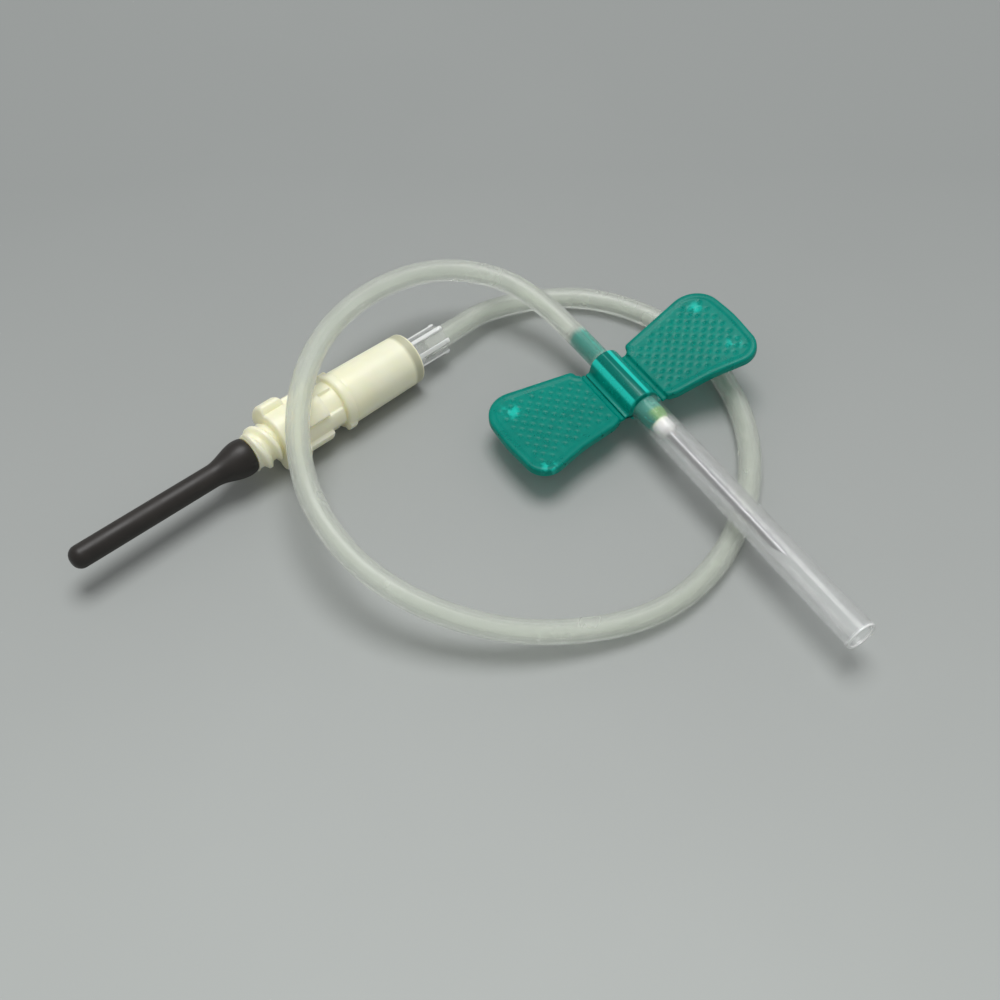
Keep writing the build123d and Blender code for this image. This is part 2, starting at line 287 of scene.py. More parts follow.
def combined(base, other, operation):
    """Boolean of two objects, kept in the first, worked in millimetres."""
    base.data.transform(Matrix.Scale(1 / MM, 4))
    other.data.transform(Matrix.Scale(1 / MM, 4))
    modifier = base.modifiers.new("cut", "BOOLEAN")
    modifier.operation = operation
    modifier.object = other
    modifier.solver = "MANIFOLD"
    graph = bpy.context.evaluated_depsgraph_get()
    mesh = bpy.data.meshes.new_from_object(base.evaluated_get(graph))
    base.modifiers.clear()
    mesh.transform(Matrix.Scale(MM, 4))
    base.data = mesh
    bpy.data.objects.remove(other, do_unlink=True)
    mesh.shade_smooth()
    mesh.set_sharp_from_angle(angle=SHARP)
    return base


def outward(thing, join=False):
    """Face every polygon outwards, and on request join points that coincide."""
    work = bmesh.new()
    work.from_mesh(thing.data)
    if join:
        bmesh.ops.remove_doubles(work, verts=work.verts, dist=0.0002 * MM)
        bmesh.ops.dissolve_degenerate(work, edges=work.edges, dist=0.0001 * MM)
    bmesh.ops.recalc_face_normals(work, faces=work.faces)
    work.to_mesh(thing.data)
    work.free()
    return thing


def place(piece, body, node_name, slot, material):
    """Finish a piece: its faces, its material and what it stands for."""
    outward(piece, join=True)
    piece.data.materials.clear()
    piece.data.materials.append(material)
    piece.data.polygons.foreach_set("material_index", [0] * len(piece.data.polygons))
    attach(piece, body)
    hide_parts(node_name)


def smooth_max(a, b, blend):
    share = np.clip(0.5 + 0.5 * (a - b) / blend, 0, 1)
    return b * (1 - share) + a * share + blend * share * (1 - share)


def wrapped(angles):
    return (angles + math.pi) % (2 * math.pi) - math.pi


def crown(offset, half, edge):
    """How far a block's rounded edge falls away at an offset from its middle."""
    over = np.clip(np.abs(offset) - (half - edge), 0, edge)
    return edge - np.sqrt(np.maximum(edge**2 - over**2, 0))


# Camera and light
def make_camera():
    data = bpy.data.cameras.new("camera")
    data.lens = CAMERA_LENS
    data.sensor_width = 36
    data.clip_start = 0.001
    data.clip_end = 10
    camera = bpy.data.objects.new("camera", data)
    bpy.context.collection.objects.link(camera)
    camera.location = CAMERA_AT
    camera.rotation_mode = "QUATERNION"
    camera.rotation_quaternion = (Vector(CAMERA_AIM) - camera.location).to_track_quat("-Z", "Y")
    bpy.context.scene.camera = camera


def make_lamp(name, location, size, power):
    data = bpy.data.lights.new(name, "AREA")
    data.shape = "DISK"
    data.size = size
    data.energy = power
    lamp = bpy.data.objects.new(name, data)
    bpy.context.collection.objects.link(lamp)
    lamp.location = location
    lamp.rotation_mode = "QUATERNION"
    lamp.rotation_quaternion = (-lamp.location).to_track_quat("-Z", "Y")


def make_world(level):
    world = bpy.data.worlds.new("studio")
    bpy.context.scene.world = world
    world.use_nodes = True
    background = world.node_tree.nodes["Background"]
    background.inputs["Color"].default_value = (1, 1, 1, 1)
    background.inputs["Strength"].default_value = level


def make_floor(material):
    mesh = bpy.data.meshes.new("floor")
    corners = [(FLOOR_HALF * x, FLOOR_HALF * y, 0) for x, y in ((-1, -1), (1, -1), (1, 1), (-1, 1))]
    mesh.from_pydata(corners, [], [(0, 1, 2, 3)])
    floor = bpy.data.objects.new("floor", mesh)
    bpy.context.collection.objects.link(floor)
    floor.data.materials.append(material)


# Materials
# A colour Mix node's sockets go by number, because its plain number sockets have the same names
MIX_FACTOR, MIX_FIRST, MIX_SECOND, MIX_RESULT = 0, 6, 7, 2
# Nearly all values of a noise texture lie between these two
NOISE_LOW, NOISE_HIGH = 0.3, 0.7


def new_material(name, color, roughness, **extra):
    material = bpy.data.materials.new(name)
    material.use_nodes = True
    shader = shader_of(material)
    shader.inputs["Base Color"].default_value = (*color, 1)
    shader.inputs["Roughness"].default_value = roughness
    for socket, value in extra.items():
        shader.inputs[socket.replace("_", " ")].default_value = value
    return material


def shader_of(material):
    return material.node_tree.nodes["Principled BSDF"]


def node(material, kind, **settings):
    made = material.node_tree.nodes.new(kind)
    for key, value in settings.items():
        setattr(made, key, value)
    return made


def link(material, source, target):
    material.node_tree.links.new(source, target)


def drive(material, name, source):
    """Take a value of the material's shader from a node's output."""
    link(material, source, shader_of(material).inputs[name])


def object_point(material):
    return node(material, "ShaderNodeTexCoord").outputs["Object"]


def add_noise(material, scale, detail):
    noise = node(material, "ShaderNodeTexNoise")
    noise.inputs["Scale"].default_value = scale
    noise.inputs["Detail"].default_value = detail
    link(material, object_point(material), noise.inputs["Vector"])
    return noise.outputs["Fac"]


def add_bump(material, height, strength, distance):
    bump = node(material, "ShaderNodeBump")
    bump.inputs["Strength"].default_value = strength
    bump.inputs["Distance"].default_value = distance
    link(material, height, bump.inputs["Height"])
    drive(material, "Normal", bump.outputs["Normal"])


def color_ramp(material, fac, stops):
    ramp = node(material, "ShaderNodeValToRGB")
    elements = ramp.color_ramp.elements
    while len(elements) < len(stops):
        elements.new(0.5)
    for element, (position, color) in zip(elements, stops):
        element.position = position
        element.color = (*color, 1)
    link(material, fac, ramp.inputs["Fac"])
    return ramp.outputs["Color"]


def number_range(material, value, low, high, out_low, out_high):
    remap = node(material, "ShaderNodeMapRange")
    remap.inputs["From Min"].default_value = low
    remap.inputs["From Max"].default_value = high
    remap.inputs["To Min"].default_value = out_low
    remap.inputs["To Max"].default_value = out_high
    link(material, value, remap.inputs["Value"])
    return remap.outputs["Result"]


def mixed(material, factor, first, second):
    """A colour between two, each a tuple or a node's output."""
    mix = node(material, "ShaderNodeMix", data_type="RGBA")
    link(material, factor, mix.inputs[MIX_FACTOR])
    for socket, color in ((MIX_FIRST, first), (MIX_SECOND, second)):
        if isinstance(color, tuple):
            mix.inputs[socket].default_value = (*color, 1)
        else:
            link(material, color, mix.inputs[socket])
    return mix.outputs[MIX_RESULT]


def worked(material, operation, first, second):
    """Result of a sum or product of two node outputs."""
    made = node(material, "ShaderNodeMath", operation=operation)
    link(material, first, made.inputs[0])
    link(material, second, made.inputs[1])
    return made.outputs["Value"]


def vector_node(material, operation, first, second):
    made = node(material, "ShaderNodeVectorMath", operation=operation)
    link(material, first, made.inputs[0])
    made.inputs[1].default_value = second
    return made


def along_axis(material, origin, direction):
    """Distance along a direction from a point of the object, in metres."""
    shift = vector_node(material, "SUBTRACT", object_point(material), origin)
    return vector_node(material, "DOT_PRODUCT", shift.outputs["Vector"], direction).outputs["Value"]


def from_axis(material, origin, direction):
    """Distance from a line through a point of the object, in metres."""
    shift = vector_node(material, "SUBTRACT", object_point(material), origin)
    turn = vector_node(material, "CROSS_PRODUCT", shift.outputs["Vector"], direction)
    length = node(material, "ShaderNodeVectorMath", operation="LENGTH")
    link(material, turn.outputs["Vector"], length.inputs[0])
    return length.outputs["Value"]


def from_point(material, point):
    """Distance from a point of the object, in metres."""
    return vector_node(material, "DISTANCE", object_point(material), point).outputs["Value"]


def noise_color(material, fac, low, high):
    return color_ramp(material, fac, [(NOISE_LOW, low), (NOISE_HIGH, high)])


def vary_roughness(material, fac, low, high):
    drive(material, "Roughness", number_range(material, fac, NOISE_LOW, NOISE_HIGH, low, high))


def absorb(material, color, density):
    volume = node(material, "ShaderNodeVolumeAbsorption")
    volume.inputs["Color"].default_value = (*color, 1)
    volume.inputs["Density"].default_value = density
    output = next(n for n in material.node_tree.nodes if n.type == "OUTPUT_MATERIAL")
    link(material, volume.outputs["Volume"], output.inputs["Volume"])


def on_wing(side, rise, along, out):
    """A place on a wing's top face, in metres."""
    return Vector((
        HUB_AT.x + along,
        HUB_AT.y + side * (HINGE_REACH + out * math.cos(rise) - PLATE_HALF * math.sin(rise)),
        HUB_AT.z - HINGE_DROP + out * math.sin(rise) + PLATE_HALF * math.cos(rise),
    )) * MM


def add_painted_highlights(material, color):
    """Painted highlights where light leaves the thick corners of a wing."""
    for side, rise, along, out, size in PAINTED_HIGHLIGHTS:
        away = from_point(material, on_wing(side, rise, along, out))
        near = number_range(material, away, 0.35 * size * MM, size * MM, 1.0, 0.0)
        patches = number_range(material, add_noise(material, 1400, 2), 0.45, 0.58, 0.0, 1.0)
        color = mixed(material, worked(material, "MULTIPLY", near, patches), color, (0.02, 0.85, 0.7))
    return color


def make_teal():
    material = new_material(
        "teal_plastic", (0.0, 0.42, 0.33), 0.16, Transmission_Weight=0.5, IOR=1.3, Specular_IOR_Level=0.08
    )
    fac = add_noise(material, 900, 2)
    color = noise_color(material, fac, (0.0, 0.36, 0.285), (0.0, 0.41, 0.325))
    drive(material, "Base Color", add_painted_highlights(material, color))
    vary_roughness(material, fac, 0.26, 0.36)
    add_bump(material, fac, 0.06, 0.02 * MM)
    absorb(material, (0.02, 0.72, 0.66), 350)
    return material


def make_barrel_teal():
    """The same plastic, thick enough to look into, with painted highlight lines and painted shade beside
    the bore and a painted glare on the nose.
    """
    material = new_material(
        "clear_teal", (0.0, 0.4, 0.32), 0.24, Transmission_Weight=0.45, IOR=1.32, Specular_IOR_Level=0.15
    )
    # Painted shade, painted highlight and plain teal for the lines across the barrel; faint is a thin
    # painted highlight down the middle
    dark, bright, middle = (0.0, 0.27, 0.215), (0.03, 1.0, 0.85), (0.0, 0.4, 0.32)
    faint, grey = (0.1, 0.5, 0.44), (0.12, 0.38, 0.34)
    across = along_axis(material, HUB_AT * MM, (0, 1, 0))
    share = number_range(material, across, -LINES_HALF * MM, LINES_HALF * MM, 0.0, 1.0)
    painted_lines = color_ramp(material, share, [
        (0.0, middle), (0.15, middle), (0.178, bright), (0.245, bright), (0.27, dark),
        (0.4, dark), (0.423, faint), (0.445, dark), (0.53, dark), (0.555, bright),
        (0.62, bright), (0.65, middle), (0.9, middle), (0.94, grey), (1.0, grey),
    ])
    # Painted glare on the nose's upper side, from pale teal to lime towards the tip, where the glue's
    # yellow-green also shows through
    deep, pale, lime = (0.0, 0.42, 0.33), (0.12, 0.6, 0.48), (0.36, 0.7, 0.24)
    front = along_axis(material, HUB_AT * MM, (1, 0, 0))
    tip = number_range(material, front, HUB_FRONT * MM, NOSE_END * MM, 0.0, 1.0)
    painted_glare = color_ramp(material, tip, [(0.15, deep), (0.3, pale), (0.5, pale), (0.65, lime), (1.0, lime)])
    lit_side = along_axis(material, HUB_AT * MM, (0, 0.75, 0.66))
    glare_share = number_range(material, lit_side, -0.2 * MM, 0.6 * MM, 0.0, 1.0)
    on_nose = number_range(material, front, (HUB_FRONT - 0.3) * MM, (HUB_FRONT + 0.1) * MM, 0.0, 1.0)
    color = mixed(material, on_nose, painted_lines, mixed(material, glare_share, deep, painted_glare))
    drive(material, "Base Color", color)
    vary_roughness(material, add_noise(material, 900, 2), 0.2, 0.3)
    absorb(material, (0.02, 0.72, 0.64), 200)
    return material


def make_clear(name, haze, roughness_low, roughness_high, alpha):
    material = new_material(
        name, (0.97, 0.985, 0.98), roughness_low, Transmission_Weight=1 - haze, IOR=1.45, Alpha=alpha
    )
    fac = add_noise(material, 500, 3)
    drive(material, "Base Color", noise_color(material, fac, (0.95, 0.97, 0.965), (0.99, 0.995, 0.99)))
    vary_roughness(material, fac, roughness_low, roughness_high)
    return material


def make_sheath_clear():
    """Clearest over the nose, with the bright cut edge of the far end."""
    material = make_clear("hazy_clear", 0.2, 0.09, 0.14, 0.45)
    along = along_axis(material, HUB_AT * MM, (1, 0, 0))
    length = number_range(material, along, NOSE_END * MM, BEAD_END * MM, 0.18, 0.45)
    edge = number_range(material, along, (SHEATH_END - 0.3) * MM, (SHEATH_END - 0.12) * MM, 0.0, 0.55)
    drive(material, "Alpha", worked(material, "ADD", length, edge))
    clear = number_range(material, along, (SHEATH_END - 0.5) * MM, (SHEATH_END - 0.1) * MM, 0.8, 0.35)
    drive(material, "Transmission Weight", clear)
    return material


def make_finned_clear():
    """Clear between the fins, brighter along them."""
    material = make_clear("clear_plastic", 0.4, 0.06, 0.1, 0.6)
    axis = ON_ADAPTER.col[2].to_3d()
    radius = from_axis(material, RIM_AT * MM, axis)
    raised = number_range(material, radius, 1.49 * MM, 1.66 * MM, 0.0, 1.0)
    outside = number_range(material, along_axis(material, RIM_AT * MM, axis), 0.0, 0.5 * MM, 0.0, 1.0)
    on_fin = worked(material, "MULTIPLY", raised, outside)
    drive(material, "Alpha", number_range(material, on_fin, 0, 1, 0.3, 0.95))
    drive(material, "Transmission Weight", number_range(material, on_fin, 0, 1, 0.6, 0.3))
    return material


def make_frosted():
    """Tubing, tinted where the spigot shows through it."""
    material = new_material(
        "frosted_tube", (0.90, 0.92, 0.88), 0.2, Transmission_Weight=0.7, IOR=1.36, Alpha=0.66,
        Sheen_Weight=0.6, Sheen_Roughness=0.2,
    )
    fac = add_noise(material, 260, 3)
    color = noise_color(material, fac, (0.90, 0.945, 0.86), (0.95, 0.985, 0.91))
    away = from_point(material, (HUB_AT - Vector((SPIGOT_TINT_AT, 0, 0))) * MM)
    tint = number_range(material, away, 2.1 * MM, 2.5 * MM, 1.0, 0.0)
    drive(material, "Base Color", mixed(material, tint, color, (0.28, 0.76, 0.66)))
    vary_roughness(material, fac, 0.2, 0.28)
    return material


def make_ivory():
    """Adapter's plastic, with the see-through band at its rim."""
    material = new_material(
        "ivory_plastic", (0.88, 0.84, 0.60), 0.33, Subsurface_Weight=0.6, Subsurface_Scale=1.6 * MM
    )
    shader_of(material).inputs["Subsurface Radius"].default_value = (1.0, 0.85, 0.5)
    fac = add_noise(material, 380, 3)
    color = noise_color(material, fac, (0.95, 0.92, 0.67), (0.985, 0.955, 0.72))
    depth = along_axis(material, RIM_AT * MM, -ON_ADAPTER.col[2].to_3d())
    share = number_range(material, depth, 0.0, 2 * MM, 0.0, 1.0)
    none, full = (0, 0, 0), (1, 1, 1)
    thin = color_ramp(material, share, [(0.1, none), (0.18, full), (0.5, full), (0.7, none)])
    drive(material, "Base Color", mixed(material, thin, color, (0.52, 0.52, 0.38)))
    vary_roughness(material, fac, 0.28, 0.38)
    add_bump(material, add_noise(material, 1500, 3), 0.12, 0.03 * MM)
    return material


def make_steel():
    material = new_material("steel", (0.34, 0.34, 0.35), 0.38, Metallic=1.0)
    vary_roughness(material, add_noise(material, 1800, 2), 0.3, 0.4)
    return material


def make_glue():
    """White bead, tinted by the plastic round its root."""
    material = new_material(
        "glue", (1.0, 1.0, 0.97), 0.16, Subsurface_Weight=0.1, Subsurface_Scale=0.3 * MM
    )
    along = along_axis(material, HUB_AT * MM, (1, 0, 0))
    share = number_range(material, along, FUNNEL_FROM * MM, (NOSE_END + 0.35) * MM, 0, 1)
    drive(material, "Base Color", color_ramp(material, share, [
        (0.0, (0.5, 0.78, 0.62)),
        (0.45, (0.62, 0.86, 0.42)),
        (0.85, (0.9, 0.96, 0.62)),
        (1.0, (1.0, 1.0, 0.97)),
    ]))
    return material


def make_rubber():
    material = new_material("black_rubber", (0.035, 0.031, 0.028), 0.42, Specular_IOR_Level=0.4)
    fac = add_noise(material, 300, 4)
    drive(material, "Base Color", noise_color(material, fac, (0.014, 0.012, 0.010), (0.026, 0.022, 0.019)))
    vary_roughness(material, fac, 0.36, 0.5)
    add_bump(material, add_noise(material, 2200, 3), 0.25, 0.03 * MM)
    return material


def make_floor_finish():
    """Grey with painted light falloff: darker at the far left, lighter at the near right."""
    material = new_material("floor", (0.42, 0.435, 0.43), 0.6)
    across = along_axis(material, (0, 0, 0), (0.84, -0.53, 0))
    painted_falloff = number_range(material, across, -60 * MM, 60 * MM, 0.0, 1.0)
    clouds = number_range(material, add_noise(material, 18, 4), NOISE_LOW, NOISE_HIGH, -0.05, 0.05)
    drive(material, "Base Color", color_ramp(material, worked(material, "ADD", painted_falloff, clouds), [
        (0.0, (0.29, 0.306, 0.3)),
        (0.5, (0.358, 0.377, 0.367)),
        (1.0, (0.47, 0.497, 0.48)),
    ]))
    return material


# Tubing
def route_curve():
    data = bpy.data.curves.new("tubing_line", "CURVE")
    data.dimensions = "3D"
    data.resolution_u = 24
    spline = data.splines.new("NURBS")
    spline.points.add(len(ROUTE) - 1)
    for point, where in zip(spline.points, ROUTE):
        point.co = (*where, 1)
    spline.order_u = 3
    spline.use_endpoint_u = True
    return data


def route_line():
    """Points that the spline passes through, in metres."""
    curve = bpy.data.objects.new("tubing_line", route_curve())
    bpy.context.collection.objects.link(curve)
    graph = bpy.context.evaluated_depsgraph_get()
    mesh = bpy.data.meshes.new_from_object(curve.evaluated_get(graph))
    line = [mesh.vertices[0].co.copy()]
    for vertex in mesh.vertices:
        if (vertex.co - line[-1]).length > LINE_GAP * MM:
            line.append(vertex.co.copy())
    line[-1] = mesh.vertices[len(mesh.vertices) - 1].co.copy()
    bpy.data.objects.remove(curve, do_unlink=True)
    bpy.data.meshes.remove(mesh)
    return line


def make_tubing(material):
    """Hollow tube along the route, with a wider bore where the spigot is in it."""
    line = route_line()
    travelled = [0.0]
    for a, b in zip(line, line[1:]):
        travelled.append(travelled[-1] + (b - a).length)
    seat_from = travelled[-1] - TUBE_SEAT_LENGTH * MM
    normal = Vector((0, 0, 1))
    outer, inner = [], []
    last = len(line) - 1
    for n, point in enumerate(line):
        tangent = (line[min(n + 1, last)] - line[max(n - 1, 0)]).normalized()
        normal = (normal - tangent * normal.dot(tangent)).normalized()
        side = tangent.cross(normal)
        bore = TUBE_SEAT_RADIUS if travelled[n] > seat_from else TUBE_BORE_RADIUS
        for ring, radius in ((outer, TUBE_RADIUS), (inner, bore)):
            for k in range(TUBE_SIDES):
                angle = 2 * math.pi * k / TUBE_SIDES
                ring.append(point + (normal * math.cos(angle) + side * math.sin(angle)) * radius * MM)
    shift = len(line) * TUBE_SIDES
    final = last * TUBE_SIDES
    faces = band(shift, 0, TUBE_SIDES) + band(final, shift + final, TUBE_SIDES)
    for here in range(0, final, TUBE_SIDES):
        after = here + TUBE_SIDES
        faces += band(here, after, TUBE_SIDES) + band(shift + after, shift + here, TUBE_SIDES)
    tube = make_object("soft_tubing", outer + inner, faces)
    place(tube, "hub", "tubing", "soft_tube", material)


# Winged hub
def arc(centre, radius, start, end, steps, first=0):
    """Points of (y, z) on a circle, from one angle to another."""
    angles = [start + (end - start) * k / steps for k in range(first, steps + 1)]
    return [(centre[0] + radius * math.cos(a), centre[1] + radius * math.sin(a)) for a in angles]


def hub_section():
    """Barrel with a ledge on each side, across the needle: points of (y, z)."""
    top_z = LEDGE_TOP + LEDGE_FILLET
    low_z = LEDGE_BOTTOM - LEDGE_UNDER_FILLET
    top_y = math.sqrt((BARREL_RADIUS + LEDGE_FILLET) ** 2 - top_z**2)
    low_y = math.sqrt((BARREL_RADIUS + LEDGE_UNDER_FILLET) ** 2 - low_z**2)
    low_angle = math.atan2(low_z, low_y)
    quarter = math.pi / 2
    half = arc((0, 0), BARREL_RADIUS, quarter, math.atan2(top_z, top_y), 16)
    half += arc((top_y, top_z), LEDGE_FILLET, math.pi, 3 * quarter, 6, first=1)
    middle = (LEDGE_TOP + LEDGE_BOTTOM) / 2
    tip = (LEDGE_TOP - LEDGE_BOTTOM) / 2
    for y, z in arc((0, 0), tip, quarter, -quarter, 6):
        half.append((LEDGE_REACH - LEDGE_TIP * tip + LEDGE_TIP * y, middle + z))
    half += arc((low_y, low_z), LEDGE_UNDER_FILLET, quarter, low_angle + math.pi, 5)
    half += arc((0, 0), BARREL_RADIUS, low_angle, -quarter, 12, first=1)
    other = [(-y, z) for y, z in reversed(half[1:-1])]
    return np.array(half + other)


def inset(points, distance):
    """Closed outline moved inwards; the points run clockwise."""
    before = np.roll(points, 1, axis=0)
    after = np.roll(points, -1, axis=0)
    run = after - before
    run /= np.linalg.norm(run, axis=1)[:, None]
    return points + distance * np.column_stack((run[:, 1], -run[:, 0]))


def make_barrel():
    """The hub's section along its length, its two ends rounded."""
    section = hub_section()
    count = len(section)
    tail = []
    for k in range(4, -1, -1):
        angle = math.pi / 2 * k / 4
        tail.append((-HUB_TAIL + HUB_EDGE * (1 - math.sin(angle)), HUB_EDGE * (1 - math.cos(angle))))
    stations = tail + [(HUB_FRONT - (along + HUB_TAIL), gap) for along, gap in reversed(tail)]
    vertices = []
    for along, gap in stations:
        outline = inset(section, gap)
        vertices += [(HUB_AT.x + along, HUB_AT.y + y, HUB_AT.z + z) for y, z in outline]
    final = (len(stations) - 1) * count
    faces = [tuple(range(count)), tuple(range(final, final + count))[::-1]]
    for here in range(0, final, count):
        faces += band(here, here + count, count)
    return outward(make_object("hub_barrel", np.array(vertices) * MM, faces))


def make_hub(material):
    barrel = make_barrel()
    core = turned("hub_core", ON_HUB, rounded([
        (0, -SPIGOT_END, 0),
        (SPIGOT_RADIUS, -SPIGOT_END, 0.22),
        (SPIGOT_RADIUS, -HUB_STEP_AT, 0),
        (NOSE_RADIUS, 0, 0),
        (NOSE_RADIUS, NOSE_TAPER_FROM, 0.6),
        (NOSE_END_RADIUS, NOSE_END, 0.12),
        (0, NOSE_END, 0),
    ]), count=64)
    bore = turned("hub_bore", ON_HUB, rounded([
        (0, -SPIGOT_END - 1, 0),
        (FLOW_RADIUS, -SPIGOT_END - 1, 0),
        (FLOW_RADIUS, -HUB_STEP_AT, 0.1),
        (NEEDLE_HOLE_RADIUS, -HUB_STEP_AT + 0.1, 0),
        (NEEDLE_HOLE_RADIUS, FUNNEL_FROM, 0),
        (FUNNEL_RADIUS + 0.01, FUNNEL_FROM, 0),
        (FUNNEL_END_RADIUS + 0.01, NOSE_END, 0),
        (FUNNEL_END_RADIUS + 0.01, NOSE_END + 1, 0),
        (0, NOSE_END + 1, 0),
    ]), count=48)
    hub = combined(barrel, outward(core), "UNION")
    hub = combined(hub, outward(bore), "DIFFERENCE")
    hub.name = "hub_body"
    place(hub, "hub", "wing_hub", "wing_plastic", material)


def make_bead(material):
    """Glue round the needle: it fills the nose's funnel and stands out of it."""
    bead = turned("glue_bead", ON_HUB, rounded([
        (NEEDLE_HOLE_RADIUS, FUNNEL_FROM, 0),
        (FUNNEL_RADIUS, FUNNEL_FROM, 0),
        (FUNNEL_END_RADIUS, NOSE_END, 0.02),
        (BEAD_RADIUS, NOSE_END + 0.02, 0.05),
        (BEAD_RADIUS, BEAD_END - 0.55, 0.7),
        (NEEDLE_HOLE_RADIUS, BEAD_END, 0.1),
    ], closed=True), count=64)
    place(bead, "hub", "needle_bead", "glue", material)


def make_sheath(material):
    sheath = turned("clear_sheath", ON_HUB, rounded([
        (SHEATH_BORE_RADIUS, SHEATH_FROM, SHEATH_EDGE),
        (SHEATH_RADIUS, SHEATH_FROM, SHEATH_EDGE),
        (SHEATH_RADIUS, SHEATH_END, SHEATH_EDGE),
        (SHEATH_BORE_RADIUS, SHEATH_END, SHEATH_EDGE),
    ], closed=True), count=96)
    place(sheath, "sheath_body", "needle_sheath", "clear_plastic", material)


# Wings
def outline_distance(points, outline, closed=True):
    """Distance from each point to an outline."""
    nearest = np.full(len(points), 1e9)
    ends = np.roll(outline, -1, axis=0) if closed else outline[1:]
    for a, b in zip(outline, ends):
        run = b - a
        share = np.clip(((points - a) @ run) / max(run @ run, 1e-12), 0, 1)
        nearest = np.minimum(nearest, np.linalg.norm(points - a - share[:, None] * run, axis=1))
    return nearest


def smooth_step(value, low, high):
    share = np.clip((value - low) / (high - low), 0, 1)
    return share * share * (3 - 2 * share)


def dimple_centres(outline):
    """Staggered rows of dimples, clear of the rim and the web."""
    rows = 14
    half_pitch = DIMPLE_PITCH / math.sqrt(2)
    centres = []
    for i in range(-rows, rows + 1):
        for j in range(0, 2 * rows):
            if (i + j) % 2 == 0:
                centres.append((i * half_pitch, DIMPLES_FROM + j * half_pitch))
    centres = np.array(centres)
    inside = inside_outline(centres, outline)
    clear = outline_distance(centres, outline) > DIMPLE_MARGIN
    return centres[inside & clear]


def inside_outline(points, outline):
    inside = np.zeros(len(points), bool)
    for a, b in zip(outline, np.roll(outline, -1, axis=0)):
        spans = (a[1] > points[:, 1]) != (b[1] > points[:, 1])
        height = b[1] - a[1] if b[1] != a[1] else 1e-12
        cross = a[0] + (points[:, 1] - a[1]) / height * (b[0] - a[0])
        inside ^= spans & (points[:, 0] < cross)
    return inside


def wing_height(points, outline, centres, dimpled):
    """Half thickness of a wing above its middle plane."""
    edge = outline_distance(points, outline)
    out = points[:, 1]
    plate = smooth_step(out, PLATE_FROM, PLATE_FROM + PLATE_SLOPE)
    from_rim = outline_distance(points, outline[outline[:, 1] > RIM_FROM], closed=False)
    rim = RIM_RAISE * (1 - smooth_step(from_rim, RIM_WIDTH, RIM_WIDTH + RIM_SLOPE))
    full = WEB_HALF + plate * (PLATE_HALF + rim - WEB_HALF)
    rounding = np.minimum(PLATE_EDGE, full)
    into = np.clip(rounding - edge, 0, None)
    height = full - rounding + np.sqrt(np.maximum(rounding**2 - into**2, 0))
    if dimpled:
        for centre in centres:
            away = np.linalg.norm(points - centre, axis=1)
            height -= DIMPLE_DEPTH * (1 - smooth_step(away, DIMPLE_FLAT, DIMPLE_RADIUS))
    return height


def wing_points(outline, centres):
    """Outline, rings inside it, rings round the dimples and a filling grid."""
    points = []
    for distance in EDGE_ROWS:
        ring = inset(outline, distance)
        clear = outline_distance(ring, outline) > distance - 0.01
        every = 1 if distance < 0.5 else 2
        points.append(ring[clear & inside_outline(ring, outline)][::every])
    for radius, count in DIMPLE_RINGS:
        for k in range(count):
            angle = 2 * math.pi * k / count
            points.append(centres + radius * np.array((math.cos(angle), math.sin(angle))))
    low, high = outline.min(axis=0), outline.max(axis=0)
    across, up = np.arange(low[0], high[0], 0.33), np.arange(low[1], high[1], 0.33)
    grid = np.array([(x, y) for x in across for y in up])
    clear = outline_distance(grid, outline) > 0.1
    for centre in centres:
        clear &= np.linalg.norm(grid - centre, axis=1) > DIMPLE_RADIUS + 0.1
    points.append(grid[clear & inside_outline(grid, outline)])
    for out in WEB_ROWS:
        row = np.array([(x, out) for x in np.arange(-4.4, 4.0, 0.2)])
        points.append(row[(outline_distance(row, outline) > 0.25) & inside_outline(row, outline)])
    return np.vstack(points)


def make_wing(name, side, rise, body, cad_node, material):
    """Gripping wing, meshed flat from above and given its thickness both ways."""
    corners = rounded(WING_CORNERS, closed=True, step=math.radians(6))
    outline = np.array([(p.x, p.y) for p in filled(corners, 0.2, closed=True)])
    centres = dimple_centres(outline)
    points = np.vstack((outline, wing_points(outline, centres)))
    border = list(range(len(outline)))
    made = delaunay_2d_cdt([Vector(p) for p in points], [], [border], 1, 1e-4)
    flat = np.array([tuple(v) for v in made[0]])
    triangles = made[2]
    top = wing_height(flat, outline, centres, True)
    bottom = wing_height(flat, outline, centres, False)
    count = len(flat)
    vertices = np.vstack((np.column_stack((flat, top)), np.column_stack((flat, -bottom))))
    faces = [tuple(t) for t in triangles] + [tuple(count + i for i in reversed(t)) for t in triangles]
    edges = [(t[k - 1], t[k]) for t in triangles for k in range(len(t))]
    known = set(edges)
    faces += [(b, a, count + a, count + b) for a, b in edges if (b, a) not in known]
    turn = np.array((
        (1, 0, 0),
        (0, side * math.cos(rise), -side * math.sin(rise)),
        (0, math.sin(rise), math.cos(rise)),
    ))
    hinge = np.array((HUB_AT.x, HUB_AT.y + side * HINGE_REACH, HUB_AT.z - HINGE_DROP))
    wing = make_object(name, (vertices @ turn.T + hinge) * MM, faces)
    place(wing, body, cad_node, "wing_plastic", material)


# Adapter
RIM_RADIUS = 2.875
RIM_BORE_RADIUS = 2.2
COLLAR_RADIUS = 3.03
GROOVE_FROM = 9.1
GROOVE_AT = 9.3
GROOVE_RADIUS = 2.98
LIP_FROM = 9.55
LIP_RADIUS = 3.07
LUER_DEPTH = 7.0
LUER_END_RADIUS = 1.845
LUER_MOUTH_RADIUS = 2.04
REAR_ROOT = 15.5
# Rings of the outline inside this radius are the bore's, and stay round
BORE_LIMIT = 1.6
